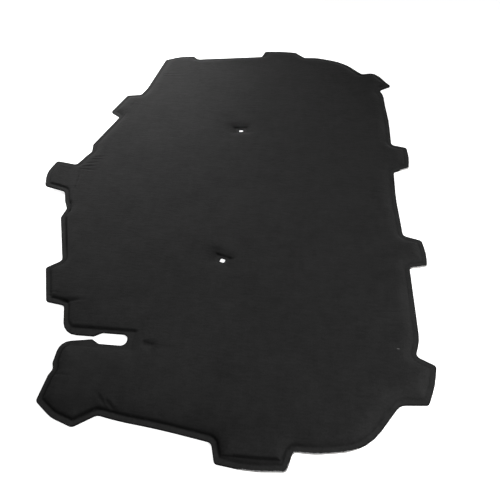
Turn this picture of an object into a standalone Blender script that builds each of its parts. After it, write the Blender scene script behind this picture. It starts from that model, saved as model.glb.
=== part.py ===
"""Hood insulation pad: one sheet of fibre felt with a black fleece face, pressed hot in a tool.

The tool squeezes a thin, hard flange all round and on every tab, and lets the body inside it
puff up. The same stroke cuts the outline, two clip holes and a keyhole slot. The pad lies on its
flat back with the engine side up: +X runs to the rear of the vehicle, +Y across it, +Z up.
All sizes are in metres. Places in the plan are measured from the tool's centre line and cross
line, and the finished pad is moved so that the middle of its box is the origin.
"""

import math
from collections import namedtuple

import bmesh
import bpy
import numpy as np
from mathutils import Vector
from mathutils.geometry import delaunay_2d_cdt

# Section of the pressed sheet
flange_thickness = 0.004
body_thickness = 0.016
flange_width = 0.011
shoulder_width = 0.020
shoulder_power = 2.2

# Plan of the body, for both halves
body_front = 0.395
body_rear = 0.410
body_half_width = 0.613
front_bay_depth = 0.011
front_bay_half_width = 0.080
front_notch_depth = 0.023
front_notch_half_width = 0.103
front_slant_depth = 0.018
front_slant_half_width = 0.132
slot_side_shoulder_depth = 0.118
plain_side_shoulder_depth = 0.107
shoulder_inset = 0.208
lobe_root_depth = 0.233
lobe_root_inset = 0.038
rear_arc_x = 0.299
rear_arc_inset = 0.010
rear_arc_radius = 0.124
rear_arc_end_radius = 0.022
slot_side_rear_bulge = 0.0065
plain_side_rear_bulge = 0.0135
rear_bulge_y = 0.385
rear_edge_outer_rise = 0.008
rear_edge_inner_rise = 0.004
rear_edge_radius = 0.400

# Front corner lobes: the corner, then the tip that stands out past the side edge
front_corner_radius = 0.008
front_corner_inset = 0.050
slot_side_corner_depth = 0.1175
plain_side_corner_depth = 0.131
lobe_tip_radius = 0.011
slot_side_lobe_depth = 0.195
plain_side_lobe_depth = 0.217
slot_side_lobe_inset = 0.0115
plain_side_lobe_inset = 0.0205
lobe_bow = 0.007
lobe_bow_radius = 0.060
lobe_root_radius = 0.014

# Tabs, which tuck into the hood's frame
tab_root_radius = 0.009
tab_tip_radius = 0.007
tab_bow_radius = 0.250
front_tab_half_width = 0.048
front_tab_reach = 0.046
front_tab_draw_in = 0.003
front_tab_bow = 0.012
front_tab_lift = 0.014
front_tab_lift_depth = 0.021
slant_tab_start = 0.130
slant_tab_length = 0.118
slant_tab_reach = 0.035
slant_tab_front_draw_in = 0.011
slant_tab_rear_draw_in = 0.019
side_tab_x = 0.042
side_tab_length = 0.138
side_tab_reach = 0.0325
side_tab_front_draw_in = 0.010
slot_side_tab_rear_draw_in = 0.009
plain_side_tab_rear_draw_in = 0.029
side_tab_bow = 0.004
side_tab_front_root_inset = 0.006
side_tab_rear_root_inset = 0.003
side_tab_tip_land = 0.017
corner_tab_root_x = 0.366
corner_tab_root_inset = 0.0975
corner_tab_tip_x = 0.4165
corner_tab_tip_inset = 0.1015
corner_tab_end_x = 0.441
corner_tab_end_inset = 0.178
corner_tab_bow = 0.004
corner_tab_rear_root_depth = 0.005
corner_tab_rear_root_inset = 0.195
rear_tab_reach = 0.039
rear_tab_bow = 0.004
slot_side_rear_tab_y = 0.120
slot_side_rear_tab_width = 0.091
slot_side_rear_tab_draw_in = 0.013
plain_side_rear_tab_y = 0.091
plain_side_rear_tab_width = 0.107
plain_side_rear_tab_draw_in = 0.021
rear_tab_outer_draw_in = 0.007

# Keyhole slot, cut in from the front edge
slot_inset = 0.1815
slot_y = body_half_width - slot_inset
slot_gap = 0.0065
slot_mouth_depth = 0.1225
slot_neck_x = -0.212
slot_hole_length = 0.067
slot_hole_width = 0.024
slot_hole_taper = 0.015
slot_hole_radius = 0.011
slot_mouth_radius = 0.034
slot_lip_radius = 0.003
slot_outer_lip_fall = 0.010
slot_land_margin = 0.013
slot_land_width = 0.044
slot_notch_depth = 0.005
slot_notch_gap = 0.070
slot_notch_half_length = 0.012
slot_notch_radius = 0.008

# Clip holes, each on a pressed land in a wide hollow
clip_x = 0.0135
clip_lean = 0.0015
clip_spacing = 0.4485
clip_hole_size = 0.011
clip_hole_radius = 0.003
clip_land_length = 0.036
clip_land_width = 0.024
plain_side_clip_turn = math.radians(8)
slot_side_clip_turn = math.radians(-17)
hollow_radius = 0.060
hollow_depth = 0.0045

# Steps up from the lands: steep towards +Y, soft on the other sides
steep_step = 0.009
soft_step = 0.026

# Dent that continues the slot's land
dent_gap = 0.040
dent_length = 0.034
dent_height_share = 0.45

# Rear corner that lies bent up off the surface
curl_height = 0.021
curl_pull_in = 0.020
curl_start_x = 0.300
curl_full_x = 0.436
curl_start_inset = 0.330
curl_full_inset = 0.185

# Slow waves of the puffed body
wave_height = 0.0008
wave_length_x = 0.290
wave_length_y = 0.370
wave_phase = 0.6

# Finish
fleece_colour = (0.021, 0.021, 0.021)
fleece_roughness = 0.95

# Fineness of the model
arc_sag = 0.0006
longest_arc_step = math.radians(24)
least_bend = math.radians(3)
arc_edge_share = 0.45
longest_edge = 0.034
longest_ring_edge = 0.013
grid_spacing = 0.031
closest_points = 0.0035
shoulder_rings = (0.2, 0.5, 1.0)
step_rings = (0.0, 0.42, 1.0)
ring_corner_parts = 3
share_slack = 0.015
ring_slack = 0.97
grid_gap_share = 0.6
cut_accuracy = 1e-6
back_flatness = 0.0003
flat_angle = math.radians(0.02)
smooth_angle = math.radians(32)

Corner = namedtuple("Corner", "x y radius")
Land = namedtuple("Land", "centre half_x half_y turn height_share")


def tab(root_a, root_b, reach, draw_in_a, draw_in_b, bow):
    """Corners of a tab that stands out to the left of the edge from root_a to root_b."""
    start = Vector(root_a)
    along = (Vector(root_b) - start).normalized()
    out = Vector((-along.y, along.x))
    length = (Vector(root_b) - start).length
    tip_a = start + along * draw_in_a + out * reach
    tip_b = start + along * (length - draw_in_b) + out * reach
    middle = (tip_a + tip_b) / 2 + out * bow
    return [
        Corner(*root_a, tab_root_radius),
        Corner(*tip_a, tab_tip_radius),
        Corner(*middle, tab_bow_radius),
        Corner(*tip_b, tab_tip_radius),
        Corner(*root_b, tab_root_radius),
    ]


def shoulder_place(slot_side):
    """The place where the slanted front edge ends."""
    depth = slot_side_shoulder_depth if slot_side else plain_side_shoulder_depth
    return (-body_front + depth, body_half_width - shoulder_inset)


def front_edge_corners(slot_side):
    """Half of the centre tab, the bay and the notch beside it, and the slanted edge with its tab."""
    front = -body_front
    slant_start = Vector((front + front_slant_depth, front_slant_half_width))
    slant_end = Vector(shoulder_place(slot_side))
    along = (slant_end - slant_start).normalized()
    root_a = slant_start + along * slant_tab_start
    root_b = root_a + along * slant_tab_length
    return [
        Corner(front - front_tab_reach, front_tab_half_width - front_tab_draw_in, tab_tip_radius),
        Corner(front, front_tab_half_width, tab_root_radius),
        Corner(front + front_bay_depth, front_bay_half_width, tab_root_radius),
        Corner(front + front_notch_depth, front_notch_half_width, tab_root_radius),
        Corner(*slant_start, tab_root_radius),
        *tab(root_a, root_b, slant_tab_reach, slant_tab_front_draw_in, slant_tab_rear_draw_in, 0.0),
    ]


def mouth_corners(with_keyhole):
    """The front edge at the slot's mouth, with the keyhole and without, and the notch beside it."""
    mouth_x = -body_front + slot_mouth_depth
    notch_y = slot_y + slot_notch_gap
    return [
        Corner(mouth_x, slot_y - slot_gap / 2, slot_mouth_radius),
        *(keyhole_corners(mouth_x) if with_keyhole else []),
        Corner(mouth_x, notch_y - slot_notch_half_length, slot_notch_radius),
        Corner(mouth_x + slot_notch_depth, notch_y, slot_notch_radius),
        Corner(mouth_x, notch_y + slot_notch_half_length, slot_notch_radius),
    ]


def keyhole_corners(mouth_x):
    """The keyhole slot: its neck, the long round hole, and back to the mouth."""
    hole_x = slot_neck_x + slot_hole_taper
    end_x = slot_neck_x + slot_hole_length
    inner = slot_y - slot_gap / 2
    outer = slot_y + slot_gap / 2
    hole_inner = slot_y - slot_hole_width / 2
    hole_outer = slot_y + slot_hole_width / 2
    return [
        Corner(slot_neck_x, inner, slot_lip_radius),
        Corner(hole_x, hole_inner, slot_hole_radius),
        Corner(end_x, hole_inner, slot_hole_radius),
        Corner(end_x, hole_outer, slot_hole_radius),
        Corner(hole_x, hole_outer, slot_hole_radius),
        Corner(slot_neck_x, outer, slot_lip_radius),
        Corner(mouth_x, outer + slot_outer_lip_fall, slot_mouth_radius),
    ]


def front_corner_corners(slot_side, with_keyhole):
    """From the end of the slanted edge, round the front corner lobe, to the side edge."""
    shoulder = Corner(*shoulder_place(slot_side), slot_mouth_radius)
    corner_depth = slot_side_corner_depth if slot_side else plain_side_corner_depth
    lobe_depth = slot_side_lobe_depth if slot_side else plain_side_lobe_depth
    lobe_inset = slot_side_lobe_inset if slot_side else plain_side_lobe_inset
    corner = Vector((-body_front + corner_depth, body_half_width - front_corner_inset))
    tip = Vector((-body_front + lobe_depth, body_half_width - lobe_inset))
    run = (tip - corner).normalized()
    bow = (corner + tip) / 2 + Vector((-run.y, run.x)) * lobe_bow
    return [
        *(mouth_corners(with_keyhole) if slot_side else [shoulder]),
        Corner(*corner, front_corner_radius),
        Corner(*bow, lobe_bow_radius),
        Corner(*tip, lobe_tip_radius),
        Corner(-body_front + lobe_root_depth, body_half_width - lobe_root_inset, lobe_root_radius),
    ]


def side_edge_corners(slot_side):
    """The side tab, the rounded rear quarter and the rear corner's tab."""
    rear_draw_in = slot_side_tab_rear_draw_in if slot_side else plain_side_tab_rear_draw_in
    root_a = (side_tab_x, body_half_width - side_tab_front_root_inset)
    root_b = (side_tab_x + side_tab_length, body_half_width - side_tab_rear_root_inset)
    rear_root_x = body_rear - corner_tab_rear_root_depth
    tip = Vector((corner_tab_tip_x, body_half_width - corner_tab_tip_inset))
    end = Vector((corner_tab_end_x, body_half_width - corner_tab_end_inset))
    run = (end - tip).normalized()
    bow = (tip + end) / 2 + Vector((-run.y, run.x)) * corner_tab_bow
    return [
        *tab(root_a, root_b, side_tab_reach, side_tab_front_draw_in, rear_draw_in, side_tab_bow),
        Corner(rear_arc_x, body_half_width - rear_arc_inset, rear_arc_radius),
        Corner(corner_tab_root_x, body_half_width - corner_tab_root_inset, rear_arc_end_radius),
        Corner(*tip, tab_tip_radius),
        Corner(*bow, tab_bow_radius),
        Corner(*end, tab_tip_radius),
        Corner(rear_root_x, body_half_width - corner_tab_rear_root_inset, tab_root_radius),
    ]


def rear_edge_corners(slot_side):
    """The bowed rear edge and its tab, up to the middle."""
    tab_y = slot_side_rear_tab_y if slot_side else plain_side_rear_tab_y
    width = slot_side_rear_tab_width if slot_side else plain_side_rear_tab_width
    inner_draw_in = slot_side_rear_tab_draw_in if slot_side else plain_side_rear_tab_draw_in
    bulge = slot_side_rear_bulge if slot_side else plain_side_rear_bulge
    root_a = (body_rear + rear_edge_outer_rise, tab_y + width)
    root_b = (body_rear + rear_edge_inner_rise, tab_y)
    return [
        Corner(body_rear + bulge, rear_bulge_y, rear_edge_radius),
        *tab(root_a, root_b, rear_tab_reach, rear_tab_outer_draw_in, inner_draw_in, rear_tab_bow),
    ]


def outline_corners(with_keyhole):
    """All corners of the outline in order: front, plain side (+Y), rear, slot side (-Y)."""
    halves = []
    for slot_side in (False, True):
        halves.append([
            *front_edge_corners(slot_side),
            *front_corner_corners(slot_side, with_keyhole),
            *side_edge_corners(slot_side),
            *rear_edge_corners(slot_side),
        ])
    plain_half, slot_half = halves
    mirrored = [Corner(corner.x, -corner.y, corner.radius) for corner in reversed(slot_half)]
    front_middle = Corner(-body_front - front_tab_reach - front_tab_bow, 0.0, tab_bow_radius)
    rear_middle = Corner(body_rear, 0.0, rear_edge_radius)
    return [front_middle, *plain_half, rear_middle, *mirrored]


def rounded(corners):
    """Points of the closed outline with an arc at each corner, limited by its shorter edge."""
    points = []
    for index, corner in enumerate(corners):
        here = Vector((corner.x, corner.y))
        before = Vector(corners[index - 1][:2]) - here
        after = Vector(corners[(index + 1) % len(corners)][:2]) - here
        bend = math.pi - before.angle(after)
        if bend < least_bend:
            points.append(here)
            continue
        most = arc_edge_share * min(before.length, after.length)
        reach = min(corner.radius * math.tan(bend / 2), most)
        radius = reach / math.tan(bend / 2)
        inward = (before.normalized() + after.normalized()).normalized()
        centre = here + inward * math.hypot(radius, reach)
        first = here + before.normalized() * reach - centre
        turn = before.cross(after)
        arc_step = 2 * math.acos(1 - min(1.0, arc_sag / radius))
        steps = math.ceil(bend / min(arc_step, longest_arc_step))
        for step in range(steps + 1):
            angle = math.copysign(bend * step / steps, -turn)
            spoke = Vector((first.x * math.cos(angle) - first.y * math.sin(angle),
                            first.x * math.sin(angle) + first.y * math.cos(angle)))
            points.append(centre + spoke)
    return points


def divided(points, longest):
    """The closed loop with its long edges cut into equal lengths no longer than the given one."""
    result = []
    for index, start in enumerate(points):
        end = points[(index + 1) % len(points)]
        parts = max(1, math.ceil((end - start).length / longest))
        result.extend(start.lerp(end, part / parts) for part in range(parts))
    return np.array(result)


def edge_distance(points, loop):
    """The distance of each point from the closed loop."""
    runs = np.roll(loop, -1, axis=0) - loop
    offsets = points[:, None, :] - loop
    share = (offsets * runs).sum(2) / (runs * runs).sum(1)
    nearest = offsets - np.clip(share, 0.0, 1.0)[:, :, None] * runs
    return np.sqrt((nearest * nearest).sum(2)).min(1)


def inside(points, loops):
    """Whether each point lies in the sheet: in the first loop and in no other."""
    crossings = np.zeros(len(points), int)
    for loop in loops:
        starts = loop
        ends = np.roll(loop, -1, axis=0)
        above = starts[:, 1] > points[:, 1:2]
        spans = above != (ends[:, 1] > points[:, 1:2])
        rise = np.where(starts[:, 1] == ends[:, 1], 1.0, ends[:, 1] - starts[:, 1])
        at_x = starts[:, 0] + (points[:, 1:2] - starts[:, 1]) / rise * (ends[:, 0] - starts[:, 0])
        crossings += (spans & (points[:, 0:1] < at_x)).sum(1)
    return crossings % 2 == 1


def local(points, land):
    """The points in a land's own axes, from its centre."""
    offset = points - np.array(land.centre)
    cosine = math.cos(land.turn)
    sine = math.sin(land.turn)
    return np.stack([offset[:, 0] * cosine + offset[:, 1] * sine,
                     offset[:, 1] * cosine - offset[:, 0] * sine], axis=1)


def land_share(points, land):
    """0 on the land, growing to 1 at the end of its steps."""
    own = local(points, land)
    over_x = np.maximum(np.abs(own[:, 0]) - land.half_x, 0.0) / soft_step
    over_y = np.maximum(own[:, 1] - land.half_y, 0.0) / steep_step
    under_y = np.maximum(-own[:, 1] - land.half_y, 0.0) / soft_step
    return np.sqrt(over_x ** 2 + over_y ** 2 + under_y ** 2)


def placed(points, centre, turn):
    """The points of a small figure, turned and set down at its centre in the plan."""
    cosine = math.cos(turn)
    sine = math.sin(turn)
    turned = np.stack([points[:, 0] * cosine - points[:, 1] * sine,
                       points[:, 0] * sine + points[:, 1] * cosine], axis=1)
    return turned + np.array(centre)


def land_ring(land, share):
    """A closed ring round a land, at a share of its steps, with part of an ellipse at each corner."""
    ring = []
    for quarter, (side, end) in enumerate(((1, 1), (-1, 1), (-1, -1), (1, -1))):
        step_y = steep_step if end > 0 else soft_step
        for part in range(ring_corner_parts + 1):
            angle = (quarter + part / ring_corner_parts) * math.pi / 2
            ring.append(Vector((side * land.half_x + math.cos(angle) * soft_step * share,
                                end * land.half_y + math.sin(angle) * step_y * share)))
    return placed(divided(ring, longest_ring_edge), land.centre, land.turn)


def clip_places():
    """The centre and the turn of each clip hole."""
    return [((clip_x - clip_lean, clip_spacing / 2), plain_side_clip_turn),
            ((clip_x + clip_lean, -clip_spacing / 2), slot_side_clip_turn)]


def clip_hole(centre, turn):
    """The loop of one clip hole, a square with round corners."""
    half = clip_hole_size / 2
    places = ((-half, -half), (half, -half), (half, half), (-half, half))
    corners = [Corner(x, y, clip_hole_radius) for x, y in places]
    return placed(divided(rounded(corners), longest_ring_edge), centre, turn)


def pressed_lands():
    """The lands round the clip holes and the slot, at the side tabs' tips, and the dent."""
    lands = [Land(centre, clip_land_length / 2, clip_land_width / 2, turn, 0.0)
             for centre, turn in clip_places()]
    mouth_x = -body_front + slot_mouth_depth
    slot_end_x = slot_neck_x + slot_hole_length
    land_half = (slot_end_x + slot_land_margin - mouth_x) / 2
    land_centre = (mouth_x + land_half, -slot_y)
    lands.append(Land(land_centre, land_half, slot_land_width / 2, 0.0, 0.0))
    dent_centre = (slot_end_x + dent_gap, -slot_y - slot_gap)
    lands.append(Land(dent_centre, dent_length / 2, slot_gap / 2, 0.0, dent_height_share))
    tip_y = body_half_width - side_tab_front_root_inset + side_tab_reach
    tab_centre_x = side_tab_x + side_tab_length / 2
    for sign, turn in ((1, 0.0), (-1, math.pi)):
        lands.append(Land((tab_centre_x, sign * tip_y), side_tab_length / 2, side_tab_tip_land, turn, 0.0))
    return lands


def shoulder_profile(share):
    """Height of the shoulder, steep at the crease and level at the body, for a share of its width."""
    return 1.0 - (1.0 - np.clip(share, 0.0, 1.0)) ** shoulder_power


def smooth_step(share):
    """A soft rise from 0 to 1."""
    share = np.clip(share, 0.0, 1.0)
    return share * share * (3.0 - 2.0 * share)


def puff_shares(points, rim, lands):
    """How far the rim, and then each land, lets the body puff up at each point, from 0 to 1."""
    shares = [shoulder_profile((edge_distance(points, rim) - flange_width) / shoulder_width)]
    for land in lands:
        step = shoulder_profile(land_share(points, land))
        shares.append(land.height_share + (1.0 - land.height_share) * step)
    return np.stack(shares)


def governed(points, rim, lands, source):
    """Whether one source of puff_shares sets the height at each point, and no other nears zero."""
    shares = puff_shares(points, rim, lands)
    others = np.delete(shares, source, axis=0).min(0)
    return (shares[source] < others + share_slack) & (others > share_slack)


def top_height(points, rim, lands):
    """Thickness of the sheet above its back at each point."""
    share = puff_shares(points, rim, lands).min(0)
    full = body_thickness - flange_thickness
    wave_x = np.sin(points[:, 0] * math.tau / wave_length_x + wave_phase)
    wave_y = np.cos(points[:, 1] * math.tau / wave_length_y)
    full = full + wave_height * (wave_x + wave_y)
    for centre, _ in clip_places():
        away = np.linalg.norm(points - np.array(centre), axis=1) / hollow_radius
        full = full - hollow_depth * np.exp(-away ** 2)
    return flange_thickness + full * share


def front_tab_rise(points):
    """Lift of the front tab, which springs up from a soft crease inside its root to its tip."""
    start_x = front_tab_lift_depth - body_front
    along = (start_x - points[:, 0]) / (start_x + body_front + front_tab_reach + front_tab_bow)
    beside = (np.abs(points[:, 1]) - front_tab_half_width) / (front_bay_half_width - front_tab_half_width)
    return front_tab_lift * smooth_step(along) * (1.0 - smooth_step(beside))


def curl_share(points):
    """0 where the pad lies flat, growing to 1 at the tip of the rear corner that is bent up."""
    along_x = (points[:, 0] - curl_start_x) / (curl_full_x - curl_start_x)
    start_y = body_half_width - curl_start_inset
    full_y = body_half_width - curl_full_inset
    along_y = (points[:, 1] - start_y) / (full_y - start_y)
    return smooth_step(along_x) * smooth_step(along_y)


def unit(vectors):
    """Each vector at length 1."""
    return vectors / np.linalg.norm(vectors, axis=1)[:, None]


def inset_ring(rim, distance):
    """The rim's points moved in by a distance, without those that come too near another edge."""
    ahead = unit(np.roll(rim, -1, axis=0) - rim)
    behind = unit(rim - np.roll(rim, 1, axis=0))
    tangent = unit(ahead + behind)
    inward = np.stack([tangent[:, 1], -tangent[:, 0]], axis=1)
    ring = rim + inward * distance
    kept = edge_distance(ring, rim) > ring_slack * distance
    return ring[kept & inside(ring, [rim])]


def grid_points(outline):
    """A triangular grid over the box of the outline."""
    low = outline.min(0)
    high = outline.max(0)
    row_height = grid_spacing * math.sqrt(3) / 2
    rows = math.ceil((high[1] - low[1]) / row_height)
    columns = math.ceil((high[0] - low[0]) / grid_spacing)
    points = []
    for row in range(rows + 1):
        for column in range(columns + 1):
            x = low[0] + (column + 0.5 * (row % 2)) * grid_spacing
            points.append((x, low[1] + row * row_height))
    return np.array(points)


def add_apart(points, extra, gap):
    """Adds each extra point that keeps the gap to those already there."""
    for point in extra:
        if ((points - point) ** 2).sum(1).min() > gap * gap:
            points = np.vstack([points, point])
    return points


def add_ring(points, ring, kept, gap):
    """Adds a ring's kept points where they stand apart, and lists the creases that join them."""
    numbers = []
    for point, is_kept in zip(ring, kept):
        if not is_kept:
            numbers.append(None)
        elif ((points - point) ** 2).sum(1).min() > gap * gap:
            numbers.append(len(points))
            points = np.vstack([points, point])
    pairs = zip(numbers, numbers[1:] + numbers[:1])
    return points, [pair for pair in pairs if None not in pair]


def sheet_triangles(outline, rim, holes, lands):
    """The flat sheet as points and triangles, with creases where the section bends."""
    loops = [outline, *holes]
    points = np.vstack(loops)
    edges = []
    first = 0
    for loop in loops:
        edges.extend((first + i, first + (i + 1) % len(loop)) for i in range(len(loop)))
        first += len(loop)
    rings = [(0, inset_ring(rim, flange_width))]
    for share in step_rings:
        rings.extend((index + 1, land_ring(land, share)) for index, land in enumerate(lands))
    for share in shoulder_rings:
        rings.append((0, inset_ring(rim, flange_width + shoulder_width * share)))
    for source, ring in rings:
        kept = inside(ring, loops) & governed(ring, rim, lands, source)
        points, creases = add_ring(points, ring, kept, closest_points)
        edges.extend(creases if source > 0 else [])
    grid = grid_points(outline)
    grid = grid[inside(grid, loops)]
    grid = grid[edge_distance(grid, rim) > flange_width + shoulder_width]
    points = add_apart(points, grid, grid_gap_share * grid_spacing)
    cut = delaunay_2d_cdt([Vector(point) for point in points], edges, [], 0, cut_accuracy)
    corners = np.array([tuple(point) for point in cut[0]])
    triangles = np.array([face for face in cut[2] if len(face) == 3])
    return corners, triangles[inside(corners[triangles].mean(1), loops)]


def make_material(name, colour, roughness):
    """A plain Principled material."""
    material = bpy.data.materials.new(name)
    material.use_nodes = True
    shader = material.node_tree.nodes["Principled BSDF"]
    shader.inputs["Base Color"].default_value = (*colour, 1.0)
    shader.inputs["Roughness"].default_value = roughness
    shader.inputs["Metallic"].default_value = 0.0
    return material


def make_pad():
    """The pad: the flat sheet, drawn up to its thickness and pressed, on a flat back."""
    outline = divided(rounded(outline_corners(with_keyhole=True)), longest_edge)
    rim = divided(rounded(outline_corners(with_keyhole=False)), longest_edge)
    holes = [clip_hole(centre, turn) for centre, turn in clip_places()]
    lands = pressed_lands()
    corners, triangles = sheet_triangles(outline, rim, holes, lands)
    middle = (outline.min(0) + outline.max(0)) / 2

    sheet = bmesh.new()
    verts = [sheet.verts.new((*(corner - middle), 0.0)) for corner in corners]
    for triangle in triangles:
        sheet.faces.new([verts[index] for index in triangle])
    loose = [vert for vert in sheet.verts if not vert.link_faces]
    bmesh.ops.delete(sheet, geom=loose, context="VERTS")
    raised = bmesh.ops.extrude_face_region(sheet, geom=list(sheet.faces))["geom"]
    top = [item for item in raised if isinstance(item, bmesh.types.BMVert)]
    place = np.array([vert.co[:2] for vert in top]) + middle
    for vert, height in zip(top, top_height(place, rim, lands)):
        vert.co.z = height
    everything = np.array([vert.co[:2] for vert in sheet.verts]) + middle
    for vert, share, rise in zip(sheet.verts, curl_share(everything), front_tab_rise(everything)):
        vert.co.z += curl_height * share + rise
        vert.co.x -= curl_pull_in * share
    back = [edge for edge in sheet.edges if max(vert.co.z for vert in edge.verts) < back_flatness]
    back_verts = list({vert for edge in back for vert in edge.verts})
    bmesh.ops.dissolve_limit(sheet, angle_limit=flat_angle, verts=back_verts, edges=back)
    bmesh.ops.recalc_face_normals(sheet, faces=sheet.faces)

    mesh = bpy.data.meshes.new("hood_insulation_pad")
    sheet.to_mesh(mesh)
    sheet.free()
    mesh.shade_smooth()
    mesh.set_sharp_from_angle(angle=smooth_angle)
    mesh.materials.append(make_material("black fleece", fleece_colour, fleece_roughness))
    pad = bpy.data.objects.new("hood_insulation_pad", mesh)
    bpy.context.scene.collection.objects.link(pad)
    return pad


for item in list(bpy.data.objects):
    bpy.data.objects.remove(item, do_unlink=True)
make_pad()
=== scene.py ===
import math
from collections import namedtuple

import bmesh
import bpy
import numpy as np
from mathutils import Matrix, Vector, noise
from mathutils.geometry import delaunay_2d_cdt


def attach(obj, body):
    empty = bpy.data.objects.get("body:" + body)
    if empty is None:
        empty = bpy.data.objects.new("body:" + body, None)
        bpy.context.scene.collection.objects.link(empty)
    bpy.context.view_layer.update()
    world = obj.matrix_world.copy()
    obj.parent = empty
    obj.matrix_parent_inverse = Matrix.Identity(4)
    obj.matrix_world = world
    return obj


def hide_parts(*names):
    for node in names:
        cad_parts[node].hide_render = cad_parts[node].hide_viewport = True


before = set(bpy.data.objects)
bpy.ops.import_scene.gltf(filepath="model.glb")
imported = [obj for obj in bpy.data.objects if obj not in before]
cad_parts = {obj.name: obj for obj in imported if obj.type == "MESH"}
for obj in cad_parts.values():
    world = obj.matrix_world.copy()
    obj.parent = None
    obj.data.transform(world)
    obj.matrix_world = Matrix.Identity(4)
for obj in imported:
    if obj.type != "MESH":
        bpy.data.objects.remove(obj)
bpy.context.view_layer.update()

# Hood pad, its plan: one sheet cut by the press tool, with two clip holes and a keyhole slot.
# The tool cuts it straight down, so its plan is read from where the solid's back meets its edge. The
# rim is that outline without the keyhole, which has a land round it in place of the flange.
merge_gap = 0.00005
back_facing = -0.4
upright = 0.3
edge_spacing = 0.0045
mouth_x = -0.2757
slot_end_x = -0.130
slot_y = -0.4314
slot_clear = 0.0135


def plan_loops(solid):
    """The outline and then the clip holes, each as a loop of points in plan that runs to the left."""
    merged = bmesh.new()
    merged.from_mesh(solid.data)
    bmesh.ops.remove_doubles(merged, verts=merged.verts, dist=merge_gap)
    merged.normal_update()
    rim = {}
    for edge in merged.edges:
        lower, upper = sorted(face.normal.z for face in edge.link_faces)
        if lower < back_facing and abs(upper) < upright:
            for vert in edge.verts:
                rim.setdefault(vert, []).append(edge.other_vert(vert))
    loops = []
    while rim:
        here = next(iter(rim))
        loop = []
        while here in rim:
            loop.append(here.co.xy)
            onward = [vert for vert in rim.pop(here) if vert in rim]
            here = onward[0] if onward else None
        loops.append(np.array(loop))
    merged.free()
    loops.sort(key=len, reverse=True)
    return [loop if signed_area(loop) > 0 else loop[::-1] for loop in loops]


def signed_area(loop):
    """The area that a loop encloses, below zero if it runs to the right."""
    after = np.roll(loop, -1, axis=0)
    return (loop[:, 0] * after[:, 1] - after[:, 0] * loop[:, 1]).sum() / 2


def divided(loop, longest):
    """The loop with its edges cut into equal lengths no longer than the given one."""
    after = np.roll(loop, -1, axis=0)
    result = []
    for start, end in zip(loop, after):
        parts = max(1, math.ceil(np.linalg.norm(end - start) / longest))
        result.extend(start + (end - start) * part / parts for part in range(parts))
    return np.array(result)


def distance_to(points, loop, chunk=4000):
    """The distance of each point from a closed loop."""
    runs = np.roll(loop, -1, axis=0) - loop
    lengths = (runs * runs).sum(1)
    nearest = []
    for first in range(0, len(points), chunk):
        offset = points[first:first + chunk, None, :] - loop
        share = np.clip((offset * runs).sum(2) / lengths, 0.0, 1.0)
        offset -= share[:, :, None] * runs
        nearest.append(np.sqrt((offset * offset).sum(2).min(1)))
    return np.concatenate(nearest)


def inside(points, loop):
    """Whether each point lies inside a closed loop."""
    after = np.roll(loop, -1, axis=0)
    result = np.zeros(len(points), bool)
    for start, end in zip(loop, after):
        spans = (start[1] > points[:, 1]) != (end[1] > points[:, 1])
        if spans.any():
            share = (points[spans, 1] - start[1]) / (end[1] - start[1])
            result[spans] ^= points[spans, 0] < start[0] + share * (end[0] - start[0])
    return result


def to_holes(points):
    """The distance of each point from the edge of the nearest clip hole."""
    return np.min([distance_to(points, loop) for loop in cut_loops[1:]], axis=0)


pad_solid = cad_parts["hood_insulation_pad"]
cut_loops = [divided(loop, edge_spacing) for loop in plan_loops(pad_solid)]
outline = cut_loops[0]
in_keyhole = (outline[:, 0] > mouth_x) & (outline[:, 0] < slot_end_x)
in_keyhole &= abs(outline[:, 1] - slot_y) < slot_clear
rim_loop = outline[~in_keyhole]
clip_holes = sorted((loop.mean(0) for loop in cut_loops[1:]), key=lambda place: place[1])

# Hood pad, its section: a flange pressed to 4 mm, then a crease with a short steep wall, and a body
# that puffs up softly to 16 mm. Lands are pressed down round the clip holes and the slot, in a dent
# beside the slot and at three tabs.
flange_thickness = 0.004
body_thickness = 0.016
flange_width = 0.011
wall_width = 0.003
wall_share = 0.24
shoulder_width = 0.030
shoulder_power = 2.3
crease_offset = 0.001
crease_reach = 0.0023
meeting_gap = 0.05
wall_dulling = 0.85
dull_left_x = (-0.10, -0.18)
dull_left_y = (0.06, 0.12)
dull_rear_x = (0.15, 0.22)
tip_dulling = 0.8
tip_x = 0.104
dull_tip_side = (0.062, 0.052)
dull_tip_y = (-0.620, -0.628)
swell_height = 0.0008
swell_size = 0.16
swell_seed = 1.3
ripple_height = 0.0004
ripple_size = 0.055
ripple_seed = 5.1
dish_depth = 0.004
dish_reach = 0.060

# A land is a patch, turned in plan, that is pressed down to its share of the body's height. The body
# rises from it over the lengths given for the north (+Y), the south and the sides, and on the north
# first by a steep wall with a crease at its foot. Listed are the clips' two lands, the slot's, its
# inner corner, the dent, and the tabs at the front, at the far side and at the near side.
Land = namedtuple("Land", "x y half_x half_y turn north south side wall share")
lands = [
    Land(*clip_holes[1], 0.015, 0.010, math.radians(8), 0.030, 0.032, 0.036, 0.20, 0.0),
    Land(*clip_holes[0], 0.015, 0.010, math.radians(-17), 0.028, 0.032, 0.034, 0.30, 0.0),
    Land(-0.206, slot_y, 0.068, 0.0195, 0.0, 0.042, 0.034, 0.055, 0.30, 0.0),
    Land(-0.2744, -0.4124, 0.005, 0.008, math.radians(-45), 0.030, 0.030, 0.030, 0.24, 0.0),
    Land(-0.106, slot_y - 0.0075, 0.008, 0.0025, math.radians(-12), 0.016, 0.030, 0.026, 0.14, 0.40),
    Land(-0.432, 0.004, 0.030, 0.060, 0.0, 0.030, 0.030, 0.045, 0.0, 0.38),
    Land(0.107, 0.640, 0.069, 0.017, 0.0, 0.012, 0.010, 0.020, 0.3, 0.0),
    Land(0.100, -0.6445, 0.060, 0.0190, 0.0, 0.030, 0.010, 0.014, 0.36, 0.35),
]


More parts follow.
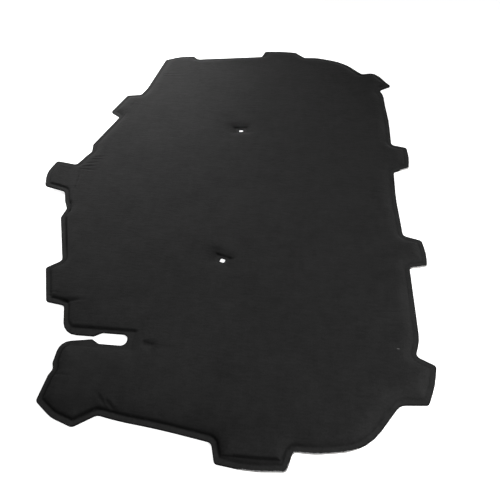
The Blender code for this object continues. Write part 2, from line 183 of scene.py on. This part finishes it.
def smooth_step(share):
    """A soft rise from 0 to 1."""
    share = np.clip(share, 0.0, 1.0)
    return share * share * (3.0 - 2.0 * share)


def ramp(value, start, end):
    """A soft rise from 0 at the start to 1 at the end."""
    return smooth_step((value - start) / (end - start))


def puffed(share):
    """Height of a crown, steep at its foot and level at the body, for a share of its width."""
    return 1.0 - (1.0 - np.clip(share, 0.0, 1.0)) ** shoulder_power


def shoulder(distance, sharp):
    """Share of the body's height at a distance from the crease: a short wall, then a soft crown."""
    wall = wall_share * sharp
    return wall * smooth_step(distance / wall_width) + (1.0 - wall) * puffed(distance / shoulder_width)


def land_share(points, land):
    """How high a land lets the body puff, from its own share to 1, and how deep it is in the crease."""
    across = points - (land.x, land.y)
    cosine = math.cos(land.turn)
    sine = math.sin(land.turn)
    own_x = across[:, 0] * cosine + across[:, 1] * sine
    own_y = across[:, 1] * cosine - across[:, 0] * sine
    side = np.maximum(abs(own_x) - land.half_x, 0.0)
    north = np.maximum(own_y - land.half_y, 0.0)
    south = np.maximum(-own_y - land.half_y, 0.0)
    slope = puffed(np.sqrt((side / land.side) ** 2 + (north / land.north) ** 2 + (south / land.south) ** 2))
    beside = np.exp(-(side / (2 * wall_width)) ** 2)
    wall = land.wall * smooth_step(north / wall_width) * beside
    line = np.exp(-((own_y - land.half_y - crease_offset) / crease_reach) ** 2)
    line *= land.wall / wall_share * beside
    step = wall + (1.0 - wall) * slope
    return land.share + (1.0 - land.share) * step, np.minimum(line, 1.0)


def swell(points, size, seed):
    """Soft unevenness of the felt, from about -1 to 1, with patches of the given size."""
    origin = Vector((seed, 2.0 * seed, 3.0 * seed))
    values = [noise.noise(Vector((x / size, y / size, 0.0)) + origin) for x, y in points]
    return np.array(values)


def wall_sharpness(points):
    """How sharp the crease and its wall are: duller at the far left, at the rear and at the near tip."""
    x, y = points.T
    dull = np.maximum(ramp(y, *dull_left_y) * ramp(x, *dull_left_x), ramp(x, *dull_rear_x))
    at_tip = ramp(y, *dull_tip_y) * ramp(abs(x - tip_x), *dull_tip_side)
    return (1.0 - wall_dulling * dull) * (1.0 - tip_dulling * at_tip)


def body_share(points, to_rim):
    """The share of the body's height at each point, and how deep the point is in a crease."""
    sharp = wall_sharpness(points)
    share = shoulder(to_rim - flange_width, sharp)
    crease = sharp * np.exp(-((to_rim - flange_width - crease_offset) / crease_reach) ** 2)
    for land in lands:
        let, line = land_share(points, land)
        crease *= smooth_step(1.0 + (let - share) / meeting_gap)
        line *= smooth_step(1.0 + (share - let) / meeting_gap)
        share = np.minimum(share, let)
        crease = np.maximum(crease, line)
    return share, crease


def full_puff(points):
    """How far the body would puff up above the flange: a little uneven, and less near a clip."""
    puff = body_thickness - flange_thickness - swell_height
    puff = puff + swell_height * swell(points, swell_size, swell_seed)
    puff = puff + ripple_height * swell(points, ripple_size, ripple_seed)
    for hole in clip_holes:
        away = np.linalg.norm(points - hole, axis=1) / dish_reach
        puff = puff - dish_depth * np.exp(-away ** 2)
    return puff


# Hood pad, its wrinkles: the felt creases where the tool bends it at tabs, notches and corners.
# Each fold runs from one place to another, with its depth and the half width of its valley.
Fold = namedtuple("Fold", "x1 y1 x2 y2 depth width")
folds = [
    Fold(-0.381, 0.034, -0.340, 0.038, 0.0018, 0.0035),
    Fold(-0.379, 0.026, -0.335, 0.020, 0.0014, 0.0035),
    Fold(-0.372, 0.047, -0.338, 0.052, 0.0012, 0.0032),
    Fold(-0.366, 0.062, -0.328, 0.064, 0.0015, 0.0034),
    Fold(-0.358, 0.072, -0.322, 0.076, 0.0012, 0.0030),
    Fold(-0.382, 0.030, -0.376, 0.000, 0.0013, 0.0030),
    Fold(-0.376, 0.004, -0.371, -0.036, 0.0013, 0.0030),
    Fold(-0.374, -0.034, -0.369, -0.050, 0.0013, 0.0030),
    Fold(-0.376, -0.080, -0.364, -0.092, 0.0042, 0.0045),
    Fold(-0.366, -0.104, -0.360, -0.122, 0.0030, 0.0040),
    Fold(-0.3645, -0.134, -0.326, -0.248, 0.0034, 0.0036),
    Fold(-0.340, -0.336, -0.305, -0.342, 0.0010, 0.0028),
    Fold(-0.338, -0.343, -0.312, -0.349, 0.0008, 0.0026),
    Fold(-0.306, -0.356, -0.250, -0.354, 0.0034, 0.0050),
    Fold(-0.252, -0.375, -0.240, -0.378, 0.0012, 0.0050),
    Fold(-0.270, -0.365, -0.252, -0.366, 0.0006, 0.0035),
    Fold(-0.262, -0.512, -0.226, -0.515, 0.0014, 0.0035),
    Fold(-0.252, -0.528, -0.226, -0.530, 0.0008, 0.0040),
    Fold(-0.157, -0.549, -0.128, -0.571, 0.0030, 0.0038),
    Fold(-0.174, -0.541, -0.146, -0.566, 0.0022, 0.0038),
    Fold(0.300, -0.322, 0.392, -0.316, 0.0006, 0.0030),
    Fold(0.318, -0.332, 0.392, -0.327, 0.0008, 0.0028),
    Fold(0.322, -0.346, 0.370, -0.343, 0.0006, 0.0030),
    Fold(0.338, -0.361, 0.398, -0.357, 0.0008, 0.0030),
    Fold(0.330, -0.304, 0.392, -0.300, 0.0004, 0.0030),
    Fold(0.255, -0.330, 0.292, -0.328, 0.0006, 0.0035),
    Fold(0.282, -0.392, 0.306, -0.391, 0.0009, 0.0070),
    Fold(0.138, -0.436, 0.202, -0.434, 0.0006, 0.0035),
    Fold(0.028, -0.469, 0.078, -0.474, 0.0006, 0.0040),
    Fold(0.030, -0.277, 0.066, -0.272, 0.0008, 0.0045),
    Fold(-0.014, -0.196, 0.018, -0.206, 0.0010, 0.0060),
    Fold(-0.256, 0.452, -0.166, 0.459, 0.0009, 0.0045),
    Fold(-0.258, 0.464, -0.186, 0.470, 0.0007, 0.0040),
    Fold(-0.330, 0.249, -0.322, 0.268, 0.0012, 0.0040),
    Fold(-0.316, 0.290, -0.304, 0.324, 0.0005, 0.0040),
    Fold(0.362, 0.015, 0.378, 0.016, 0.0009, 0.0040),
    Fold(0.340, 0.004, 0.388, 0.002, 0.0005, 0.0035),
    Fold(0.386, 0.440, 0.398, 0.428, 0.0016, 0.0060),
    Fold(0.284, 0.288, 0.330, 0.274, 0.0006, 0.0060),
    Fold(0.296, -0.108, 0.316, -0.112, 0.0007, 0.0080),
    Fold(0.342, -0.016, 0.358, -0.019, 0.0007, 0.0080),
    Fold(0.058, -0.6330, 0.132, -0.6345, 0.0009, 0.0022),
]
fold_start_fade = 3.0
fold_end_fade = 0.45
ridge_share = 0.9
ridge_spread = 0.8


def fold_height(points, fold):
    """The valley of one fold with a low ridge on either side, faded at its ends."""
    start = np.array((fold.x1, fold.y1))
    run = np.array((fold.x2, fold.y2)) - start
    length = np.linalg.norm(run)
    along = (points - start) @ run / length
    across = (points - start) @ np.array((-run[1], run[0])) / length
    fade = smooth_step((along + fold.width) / (fold_start_fade * fold.width))
    fade *= smooth_step((length + fold.width - along) / (fold_end_fade * length + 2 * fold.width))
    valley = (across / fold.width) ** 2
    return -fold.depth * fade * (1.0 - ridge_share * valley) * np.exp(-ridge_spread * valley)


# Hood pad, its painted light and shade: the fleece is painted paler on the flange, as painted light, and
# darker in creases and in folds, as painted shade; it is also darker at cut edges. The patches below are
# soft, mostly of painted shade or painted light, and the loss is how much darker a patch makes the fleece,
# or, as painted light, how much paler if it is below zero.
PaintedPatch = namedtuple("PaintedPatch", "x y half_x half_y loss")
painted_patches = [
    # Painted shade in the dent beside the slot.
    PaintedPatch(-0.111, -0.4375, 0.010, 0.005, 0.28),
    PaintedPatch(-0.078, -0.4400, 0.022, 0.003, 0.24),
    # A dark patch at the rear edge below the tab.
    PaintedPatch(0.4080, 0.056, 0.0070, 0.018, 0.98),
    # Painted shade under the curled corner and at its root.
    PaintedPatch(0.374, 0.515, 0.030, 0.007, 0.90),
    PaintedPatch(0.402, 0.494, 0.007, 0.018, 0.80),
    PaintedPatch(0.411, 0.464, 0.005, 0.018, 0.50),
    PaintedPatch(0.388, 0.412, 0.006, 0.006, 0.50),
    # Painted shade that dulls a highlight beside a rear tab's root.
    PaintedPatch(0.394, 0.187, 0.014, 0.012, 0.10),
    # Paler on the front tab and along its edge, and round and below the slot.
    PaintedPatch(-0.425, 0.004, 0.030, 0.045, -0.18),
    PaintedPatch(-0.412, -0.040, 0.034, 0.010, -0.30),
    PaintedPatch(-0.100, -0.445, 0.160, 0.070, -0.20),
    # Painted light and shade that even out the fall of light across the pad.
    PaintedPatch(-0.060, -0.125, 0.110, 0.090, -0.08),
    PaintedPatch(0.235, 0.565, 0.090, 0.050, -0.12),
    PaintedPatch(-0.010, 0.558, 0.080, 0.030, 0.14),
    # Painted shade at the near left corner and along the near side's shoulder.
    PaintedPatch(-0.245, -0.360, 0.030, 0.040, 0.15),
    PaintedPatch(-0.220, -0.560, 0.070, 0.035, 0.12),
    PaintedPatch(-0.190, -0.557, 0.030, 0.018, 0.10),
    PaintedPatch(0.055, -0.572, 0.050, 0.020, 0.15),
    PaintedPatch(0.200, -0.575, 0.070, 0.025, 0.06),
    # Painted shade that dims the middle of the pad towards the rear.
    PaintedPatch(0.080, 0.330, 0.150, 0.270, 0.22),
    # Painted shade in four folds.
    PaintedPatch(0.306, -0.109, 0.012, 0.004, 0.16),
    PaintedPatch(0.351, -0.017, 0.012, 0.004, 0.14),
    PaintedPatch(0.306, 0.281, 0.022, 0.006, 0.10),
    PaintedPatch(0.292, -0.392, 0.014, 0.004, 0.12),
    # Painted shadows round the two clip holes.
    PaintedPatch(-0.012, 0.236, 0.020, 0.012, 0.30),
    PaintedPatch(0.020, 0.233, 0.009, 0.003, 0.30),
    PaintedPatch(0.022, -0.213, 0.020, 0.006, 0.18),
    PaintedPatch(-0.009, -0.204, 0.018, 0.015, 0.34),
]
# Painted light on the flange, and painted shade in creases and in folds.
flange_painted_light = 0.22
flange_fade = 0.003
crease_painted_shade = 0.64
fold_painted_shade = 110.0
# Painted shade on the near side's shoulder, where it slopes down to the near edge.
near_side_painted_shade = 0.17
near_reach = 0.011
near_y = (-0.48, -0.54)
near_from_rim = (0.008, 0.012)
# Painted light in a ring round each clip hole.
clip_ring_painted_light = 0.22
ring_radius = 0.0115
ring_reach = 0.0035
hole_loss = 0.6
hole_reach = 0.002
rim_loss = 0.85
rim_reach = 0.0027
darkest_tone = 0.1
thinnest_felt = 0.0024


def with_painted_light_and_edges(points, tone):
    """The tone with patches of painted shade and painted light, rings of painted light round the clips and
    the dark cut edges laid over it.
    """
    # Soft patches of painted shade, or of painted light where the loss is below zero.
    for painted_patch in painted_patches:
        reach = ((points - (painted_patch.x, painted_patch.y)) / (painted_patch.half_x, painted_patch.half_y)) ** 2
        tone -= painted_patch.loss * np.exp(-reach.sum(1))
    # Painted light in a ring round each clip hole.
    for hole in clip_holes:
        away = np.linalg.norm(points - hole, axis=1)
        tone += clip_ring_painted_light * np.exp(-((away - ring_radius) / ring_reach) ** 2)
    tone *= 1.0 - hole_loss * (1.0 - smooth_step(to_holes(points) / hole_reach))
    tone *= 1.0 - rim_loss * (1.0 - smooth_step(distance_to(points, outline) / rim_reach))
    return np.maximum(tone, darkest_tone)


def pressed_face(points):
    """Height of the pad's face above its back, and the tone of its fleece there with painted light and
    shade, where 1 is plain.
    """
    to_rim = distance_to(points, rim_loop)
    share, crease = body_share(points, to_rim)
    height = flange_thickness + full_puff(points) * share
    # The flange is painted paler, as painted light.
    tone = 1.0 + flange_painted_light * ramp(to_rim, flange_width, flange_width - flange_fade)
    # Creases are painted darker, as painted shade.
    tone -= crease_painted_shade * crease
    # Painted shade along the near side's shoulder.
    near_side = ramp(points[:, 1], *near_y) * ramp(to_rim, *near_from_rim)
    tone -= near_side_painted_shade * near_side * np.exp(-((to_rim - flange_width) / near_reach) ** 2)
    # Each fold's valley is painted darker too, as painted shade.
    for fold in folds:
        valley = fold_height(points, fold)
        height += valley
        tone += fold_painted_shade * np.minimum(valley, 0.0)
    return np.maximum(height, thinnest_felt), with_painted_light_and_edges(points, tone)


# Hood pad, how it lies: the front tab is lifted off the floor, and one rear corner has curled up with
# its tab. The felt has also sprung a little out of its moulded plan, where it is bent or was handled.
# Each spring shifts the felt round one place, and fades over its reach.
tab_front_root = -0.378
tab_front_tip = -0.457
tab_half_width = 0.048
tab_fade = 0.032
tab_lift = 0.014
curl_height = 0.021
curl_pull_in = 0.020
curl_start = Vector((0.296, 0.2833))
curl_full = Vector((0.432, 0.4283))
curl_rounds = 4
Spring = namedtuple("Spring", "x y shift_x shift_y reach")
springs = [
    Spring(0.398, 0.420, 0.013, 0.004, 0.036),
    Spring(0.420, 0.440, 0.005, 0.003, 0.016),
    Spring(0.397, 0.512, -0.005, -0.007, 0.016),
    Spring(0.410, 0.464, 0.000, 0.003, 0.014),
    Spring(0.210, 0.612, 0.002, 0.007, 0.035),
    Spring(-0.135, -0.578, 0.000, -0.0035, 0.060),
    Spring(0.107, -0.645, 0.000, -0.002, 0.050),
    Spring(0.212, -0.606, 0.000, -0.003, 0.028),
]


def back_lift(points):
    """How far the pad's back lies off the floor. The curl draws the corner in, so its foot in the flat
    sheet is found in a few rounds."""
    x, y = points.T
    lift = tab_lift * ramp(x, tab_front_root, tab_front_tip)
    lift *= 1.0 - ramp(abs(y), tab_half_width, tab_half_width + tab_fade)
    curl = 0.0
    for _ in range(curl_rounds):
        flat_x = x + curl_pull_in * curl
        curl = ramp(flat_x, curl_start.x, curl_full.x) * ramp(y, curl_start.y, curl_full.y)
    return lift + curl_height * curl


def sprung(points):
    """How far the felt has sprung out of its plan, most of all at the tab on the curled corner."""
    moved = np.zeros_like(points)
    for spring in springs:
        near = np.exp(-((points - (spring.x, spring.y)) ** 2).sum(1) / spring.reach ** 2)
        moved += near[:, None] * (spring.shift_x, spring.shift_y)
    return moved


# Hood pad, its mesh: a fine sheet of triangles with rows that follow the flange and the shoulder.
# The back is a plainer sheet on the same edge, and the cut edge between them is a soft round.
row_distances = (0.0022, 0.0050, 0.0080, 0.0098, 0.0110, 0.0120, 0.0130, 0.0142, 0.0160, 0.0185,
                 0.0215, 0.0255, 0.0300, 0.0350, 0.0400)
row_gap = 0.0018
face_spacing = 0.0060
face_gap = 0.0013
hole_gap = 0.0015
fine_spacing = 0.0024
fine_margin_x = 0.014
fine_margin_y = 0.018
fold_spacing = 0.45
fold_stretch = 1.6
fold_margin = 2.0
corner_share = 0.98
same_place = 1e-7
back_spacing = 0.0200
back_clearance = 0.6 * back_spacing
edge_rows = ((0.0007, 1.0), (0.0002, 0.93), (0.0, 0.75), (0.0, 0.25), (0.0002, 0.07), (0.0006, 0.0))
frayed = [(0.136, -0.645, 0.040), (0.439, 0.103, 0.014), (0.435, -0.207, 0.024), (0.225, -0.605, 0.050)]
fray_full = 0.6
fray_depth = 0.004


def normals_of(loop):
    """Unit vectors that point to the left of the loop at each of its points."""
    ahead = np.roll(loop, -1, axis=0) - loop
    behind = loop - np.roll(loop, 1, axis=0)
    run = ahead / np.linalg.norm(ahead, axis=1)[:, None] + behind / np.linalg.norm(behind, axis=1)[:, None]
    run /= np.linalg.norm(run, axis=1)[:, None]
    return np.stack([-run[:, 1], run[:, 0]], axis=1)


def in_sheet(points):
    """Whether each point lies on the pad."""
    result = inside(points, outline)
    for loop in cut_loops[1:]:
        result &= ~inside(points, loop)
    return result


def rows_of_points(loop, distances):
    """Rows of points that follow a loop at the given distances, without those that meet in a corner."""
    rows = []
    for distance in distances:
        row = loop + distance * normals_of(loop)
        rows.append(row[distance_to(row, loop) > corner_share * distance])
    return np.vstack(rows)


def thinned(points, gap):
    """The points without those that share a small square of the plan with an earlier one."""
    cells = np.floor(points / gap).astype(int)
    first = np.unique(cells, axis=0, return_index=True)[1]
    return points[np.sort(first)]


def staggered_grid(spacing):
    """Points of a triangular grid over the whole pad."""
    low = outline.min(0)
    high = outline.max(0)
    step = spacing * math.sqrt(0.75)
    rows = []
    for index, y in enumerate(np.arange(low[1], high[1], step)):
        x = np.arange(low[0] + 0.5 * spacing * (index % 2), high[0], spacing)
        rows.append(np.stack([x, np.full(len(x), y)], axis=1))
    return np.vstack(rows)


def triangulated(inner):
    """The cut loops' points and the inner ones joined by triangles that face up."""
    points = np.vstack([*cut_loops, inner])
    edges = []
    first = 0
    for loop in cut_loops:
        edges.extend((first + i, first + (i + 1) % len(loop)) for i in range(len(loop)))
        first += len(loop)
    cut = delaunay_2d_cdt([Vector(point) for point in points], edges, [], 0, same_place)
    corners = np.array([tuple(corner) for corner in cut[0]])
    triangles = np.array(cut[2])
    triangles = triangles[in_sheet(corners[triangles].mean(1))]
    return corners, triangles


def along_folds():
    """A fine grid round each fold, so that the mesh can follow its valley."""
    patches = []
    for fold in folds:
        start = np.array((fold.x1, fold.y1))
        run = np.array((fold.x2, fold.y2)) - start
        length = np.linalg.norm(run)
        run /= length
        gap = fold_spacing * fold.width
        margin = fold_margin * fold.width
        along = np.arange(-margin, length + margin, fold_stretch * gap)
        for row, across in enumerate(np.arange(-margin, margin + gap / 2, gap)):
            shifted = along + fold_stretch * gap / 2 * (row % 2)
            patches.append(start + shifted[:, None] * run + across * np.array((-run[1], run[0])))
    return np.vstack(patches)


def off_edge(points, clearance):
    """The points that lie on the pad and keep a clearance from its outline."""
    points = points[in_sheet(points)]
    return points[distance_to(points, outline) > clearance]


fine_grid = staggered_grid(fine_spacing)
fine_points = [along_folds()]
for land in lands:
    if land.wall > 0.0:
        near = abs(fine_grid[:, 0] - land.x) < land.half_x + fine_margin_x
        near &= abs(fine_grid[:, 1] - land.y) < land.half_y + fine_margin_y
        fine_points.append(fine_grid[near])
fine_points = off_edge(np.vstack(fine_points), row_gap)
flange_rows = off_edge(thinned(rows_of_points(rim_loop, row_distances), row_gap), row_gap)
grid = staggered_grid(face_spacing)
grid = grid[in_sheet(grid)]
grid = grid[distance_to(grid, rim_loop) > row_distances[-1] + face_spacing / 2]
face_points = thinned(np.vstack([flange_rows, fine_points, grid]), face_gap)
face_points = face_points[to_holes(face_points) > hole_gap]
face_corners, face_triangles = triangulated(face_points)
back_corners, back_triangles = triangulated(off_edge(staggered_grid(back_spacing), back_clearance))

edge_count = sum(len(loop) for loop in cut_loops)
inward = np.vstack([normals_of(loop) * (1 if loop is outline else -1) for loop in cut_loops])
face_top, face_tone = pressed_face(face_corners)
face_z = face_top + back_lift(face_corners)
back_z = back_lift(back_corners)
edge_top = face_top[:edge_count]
mesh_points = []
for inset, share in edge_rows:
    plan = face_corners[:edge_count] + inset * inward
    mesh_points.append(np.column_stack([plan, back_z[:edge_count] + share * edge_top]))
row_count = len(edge_rows)
face_start = edge_count * row_count
mesh_points.append(np.column_stack([face_corners, face_z])[edge_count:])
back_start = face_start + len(face_corners) - edge_count
mesh_points.append(np.column_stack([back_corners, back_z])[edge_count:])
face_index = np.where(face_triangles < edge_count, face_triangles, face_triangles + face_start - edge_count)
last_row = edge_count * (row_count - 1)
back_index = np.where(back_triangles < edge_count, back_triangles + last_row,
                      back_triangles + back_start - edge_count)
edge_faces = []
first = 0
for loop in cut_loops:
    count = len(loop)
    for i in range(count):
        here, there = first + i, first + (i + 1) % count
        for row in range(row_count - 1):
            quad = (here + row * edge_count, there + row * edge_count,
                    there + (row + 1) * edge_count, here + (row + 1) * edge_count)
            edge_faces.append(quad if loop is not outline else quad[::-1])
    first += count
faces = face_index.tolist() + [tuple(face[::-1]) for face in back_index.tolist()] + edge_faces
mesh_points = np.vstack(mesh_points)
mesh_points[:, :2] += sprung(mesh_points[:, :2])
pad_mesh = bpy.data.meshes.new("hood_pad")
pad_mesh.from_pydata(mesh_points.tolist(), [], faces)
pad_mesh.update()
hood_pad = bpy.data.objects.new("hood_pad", pad_mesh)
bpy.context.scene.collection.objects.link(hood_pad)
pad_mesh.shade_smooth()
pad_mesh.polygons.foreach_set("material_index", [0] * (len(faces) - len(edge_faces)) + [1] * len(edge_faces))
# The tone on the face carries painted light and painted shade as well as the fleece's marks.
tone = np.ones(len(mesh_points))
tone[:edge_count] = face_tone[:edge_count]
tone[face_start:back_start] = face_tone[edge_count:]
pad_mesh.attributes.new("tone", "FLOAT", "POINT").data.foreach_set("value", tone)
fray = np.zeros(len(mesh_points))
at_rim = np.ones(len(mesh_points))
to_edge = distance_to(face_corners[edge_count:], outline)
at_rim[face_start:back_start] = 1.0 - smooth_step(to_edge / fray_depth)
for x, y, reach in frayed:
    away = np.linalg.norm(mesh_points[:, :2] - (x, y), axis=1)
    fray = np.maximum(fray, 1.0 - smooth_step(away / reach - fray_full))
pad_mesh.attributes.new("fray", "FLOAT", "POINT").data.foreach_set("value", fray * at_rim)


# Black fleece, the face of the pad: short matt fibres laid mostly along the roll, a little uneven.
# The cut edge shows the felt between the two fleeces, charcoal with some pale fibres in it. A speck of
# lint lies near the rear edge, and pale ends of fibres stick out where the edge is frayed.
fleece_black = (0.0165, 0.0165, 0.0165, 1.0)
felt_charcoal = (0.008, 0.008, 0.008, 1.0)
felt_pale = (0.42, 0.41, 0.40, 1.0)
roll_stretch = 0.28
lap_stretch = 0.2
lint_x = 0.36607
lint_y = -0.41104
lint_half_x = 0.0030
lint_half_y = 0.0008
lint_brightness = 7.0
loose_brightness = 14.0
loose_from = 0.62
pale_from = 0.30


class Shade:
    """A socket in a tree of nodes, on which Python's operators add Math nodes."""

    def __init__(self, tree, socket):
        self.tree = tree
        self.socket = socket

    def node(self, kind, settings=None, out=0, **inputs):
        """Adds a node, sets its settings and then its sockets, by name or as _ and a number, and gives
        the output with the number out."""
        made = self.tree.nodes.new(kind)
        for name, value in (settings or {}).items():
            setattr(made, name, value)
        for name, value in inputs.items():
            key = int(name[1:]) if name[1:].isdigit() else name.replace("_", " ")
            socket = made.inputs[key]
            if isinstance(value, Shade):
                self.tree.links.new(value.socket, socket)
            else:
                socket.default_value = value
        return Shade(self.tree, made.outputs[out])

    def maths(self, operation, first, second=0.0):
        return self.node("ShaderNodeMath", {"operation": operation}, _0=first, _1=second)

    def __add__(self, other):
        return self.maths("ADD", self, other)

    def __sub__(self, other):
        return self.maths("SUBTRACT", self, other)

    def __rsub__(self, other):
        return self.maths("SUBTRACT", other, self)

    def __mul__(self, other):
        return self.maths("MULTIPLY", self, other)

    def __gt__(self, other):
        return self.maths("GREATER_THAN", self, other)

    __radd__ = __add__
    __rmul__ = __mul__


def new_material(name):
    """A material with only its Principled node, and that node's tree."""
    material = bpy.data.materials.new(name)
    material.use_nodes = True
    return material, material.node_tree.nodes["Principled BSDF"], material.node_tree


def speckle(place, scale, detail=2.0):
    """Noise about 0, from about -0.5 to 0.5."""
    return place.node("ShaderNodeTexNoise", Vector=place, Scale=scale, Detail=detail) - 0.5


fleece, fleece_shader, tree = new_material("black fleece")
start = Shade(tree, None)
place = start.node("ShaderNodeTexCoord", out=3)
along_roll = place.node("ShaderNodeMapping", Vector=place, Scale=(roll_stretch, 1.0, 1.0))
across_roll = place.node("ShaderNodeMapping", Vector=place, Scale=(1.0, lap_stretch, 1.0))
fibres = speckle(place, 900.0, 3.0)
grain = speckle(place, 330.0)
streaks = speckle(along_roll, 240.0, 3.0)
ripples = speckle(along_roll, 60.0)
laps = speckle(across_roll, 110.0)
patches = speckle(place, 40.0, 3.0)
clouds = speckle(place, 11.0)
# The tone from the mesh, which carries painted light on the flange and round the clips and painted shade in
# creases, folds and patches.
tone_and_painted_shade = place.node("ShaderNodeAttribute", {"attribute_name": "tone"}, out=2)
tone = 1.0 + 0.50 * fibres + 0.60 * grain + 0.45 * streaks + 0.20 * ripples + 0.25 * laps
tone = tone + 0.42 * patches + 0.28 * clouds
lint_place = place.node("ShaderNodeMapping", Vector=place,
                        Location=(-lint_x / lint_half_x, -lint_y / lint_half_y, 0.0),
                        Scale=(1.0 / lint_half_x, 1.0 / lint_half_y, 0.0))
from_lint = lint_place.node("ShaderNodeVectorMath", {"operation": "LENGTH"}, out=1, _0=lint_place)
frayed_here = place.node("ShaderNodeAttribute", {"attribute_name": "fray"}, out=2)
loose_ends = (frayed_here + 1.4 * grain) > loose_from
tone = tone * tone_and_painted_shade + lint_brightness * (1.0 - (from_lint > 1.0)) + loose_brightness * loose_ends
colour = place.node("ShaderNodeMix", {"data_type": "RGBA", "blend_type": "MULTIPLY"}, out=2,
                    _0=1.0, _6=fleece_black, _7=tone)
relief = 0.0002 * fibres + 0.0004 * grain + 0.0006 * streaks + 0.0008 * ripples + 0.0003 * laps
bump = place.node("ShaderNodeBump", Height=relief, Distance=1.0, Strength=1.0)
tree.links.new(colour.socket, fleece_shader.inputs["Base Color"])
tree.links.new(bump.socket, fleece_shader.inputs["Normal"])
fleece_shader.inputs["Roughness"].default_value = 0.85
fleece_shader.inputs["Specular IOR Level"].default_value = 0.08
fleece_shader.inputs["Sheen Weight"].default_value = 0.033
fleece_shader.inputs["Sheen Roughness"].default_value = 0.5

felt, felt_shader, tree = new_material("cut felt")
start = Shade(tree, None)
place = start.node("ShaderNodeTexCoord", out=3)
ends = speckle(place, 700.0, 3.0)
tufts = speckle(place, 90.0)
frayed_here = place.node("ShaderNodeAttribute", {"attribute_name": "fray"}, out=2)
pale = (ends + 1.2 * tufts + 0.5 * frayed_here) > pale_from
colour = place.node("ShaderNodeMix", {"data_type": "RGBA"}, out=2,
                    _0=pale, _6=felt_charcoal, _7=felt_pale)
bump = place.node("ShaderNodeBump", Height=0.0006 * ends, Distance=1.0, Strength=1.0)
tree.links.new(colour.socket, felt_shader.inputs["Base Color"])
tree.links.new(bump.socket, felt_shader.inputs["Normal"])
felt_shader.inputs["Roughness"].default_value = 0.95
felt_shader.inputs["Specular IOR Level"].default_value = 0.2

pad_mesh.materials.append(fleece)
pad_mesh.materials.append(felt)
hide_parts("hood_insulation_pad")
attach(hood_pad, "root")

# Floor: a wide pale sweep that the pad lies on, which keeps its shadow.
# Its own glow is for the camera alone, so that the plain background comes out white.
floor_size = 30.0
floor_z = -0.0003
floor_white = (0.80, 0.80, 0.80, 1.0)
floor_glow = 0.8
black = (0.0, 0.0, 0.0, 1.0)
white = (1.0, 1.0, 1.0, 1.0)
bpy.ops.object.select_all(action="DESELECT")
bpy.ops.mesh.primitive_plane_add(size=floor_size, location=(0.0, 0.0, floor_z))
floor = bpy.context.object
floor.name = "floor"
floor_material, floor_shader, tree = new_material("white floor")
start = Shade(tree, None)
seen = start.node("ShaderNodeLightPath", out=0)
glow = seen.node("ShaderNodeMix", {"data_type": "RGBA"}, out=2, _0=seen, _6=black, _7=white)
tree.links.new(glow.socket, floor_shader.inputs["Emission Color"])
floor_shader.inputs["Emission Strength"].default_value = floor_glow
floor_shader.inputs["Base Color"].default_value = floor_white
floor_shader.inputs["Roughness"].default_value = 0.9
floor_shader.inputs["Specular IOR Level"].default_value = 0.0
floor.data.materials.append(floor_material)

# Light: three soft spots from the far left, so that the far corner is the palest, two panels low on
# the near right, and a dim room that is white to the camera alone.
room_level = 0.06
spot_radius = 0.3
Spot = namedtuple("Spot", "name place aim cone power")
spots = [
    Spot("left_spot", (-2.0, 1.0, 1.5), (-0.55, 0.25, 0.0), 46, 198.0),
    Spot("back_left_spot", (-1.3, 1.9, 1.6), (-0.54, 0.48, 0.0), 39, 222.0),
    Spot("far_corner_spot", (-0.9, 1.9, 1.5), (-0.26, 0.60, 0.0), 20, 290.0),
]
Panel = namedtuple("Panel", "name place aim size power")
panels = [
    Panel("right_panel", (1.3, -0.5, 0.8), (0.3, -0.2, 0.0), 0.6, 8.8),
    Panel("near_panel", (1.5, -1.3, 0.9), (0.0, 0.0, 0.0), 0.8, 28.6),
]


def new_lamp(kind, lamp):
    """Adds a lamp with its power at its place, turned to its aim, and gives its data."""
    lamp_data = bpy.data.lights.new(lamp.name, kind)
    lamp_data.energy = lamp.power
    stand = bpy.data.objects.new(lamp.name, lamp_data)
    stand.location = lamp.place
    stand.rotation_euler = (Vector(lamp.aim) - Vector(lamp.place)).to_track_quat("-Z", "Y").to_euler()
    bpy.context.scene.collection.objects.link(stand)
    return lamp_data


for spot in spots:
    lamp_data = new_lamp("SPOT", spot)
    lamp_data.spot_size = math.radians(spot.cone)
    lamp_data.spot_blend = 1.0
    lamp_data.shadow_soft_size = spot_radius
for panel in panels:
    lamp_data = new_lamp("AREA", panel)
    lamp_data.size = panel.size
world = bpy.data.worlds.new("room")
bpy.context.scene.world = world
world.use_nodes = True
tree = world.node_tree
start = Shade(tree, None)
seen = start.node("ShaderNodeLightPath", out=0)
strength = seen * (1.0 - room_level) + room_level
background = tree.nodes["Background"]
background.inputs["Color"].default_value = white
tree.links.new(strength.socket, background.inputs["Strength"])

# Camera: stands at the pad's near side and looks down on it, as the photograph was taken.
# Its place and its turn were worked out from the pad's outline in the photograph.
focal_px = 480.0
frame_px = 500.0
camera_turn = -0.00106
camera_place = Vector((0.12583, -0.84595, 0.83624))
camera_right = Vector((0.996229, 0.086758, -0.000714))
camera_up = Vector((-0.067632, 0.781704, 0.619971))
camera_data = bpy.data.cameras.new("camera")
camera_data.sensor_width = 36.0
camera_data.lens = camera_data.sensor_width * focal_px / frame_px
camera = bpy.data.objects.new("camera", camera_data)
axes = Matrix((camera_right, camera_up, camera_right.cross(camera_up))).transposed()
turned = Matrix.Rotation(camera_turn, 4, "Z")
camera.matrix_world = turned @ Matrix.Translation(camera_place) @ axes.to_4x4()
bpy.context.scene.collection.objects.link(camera)
bpy.context.scene.camera = camera
bpy.context.scene.view_settings.view_transform = "Standard"
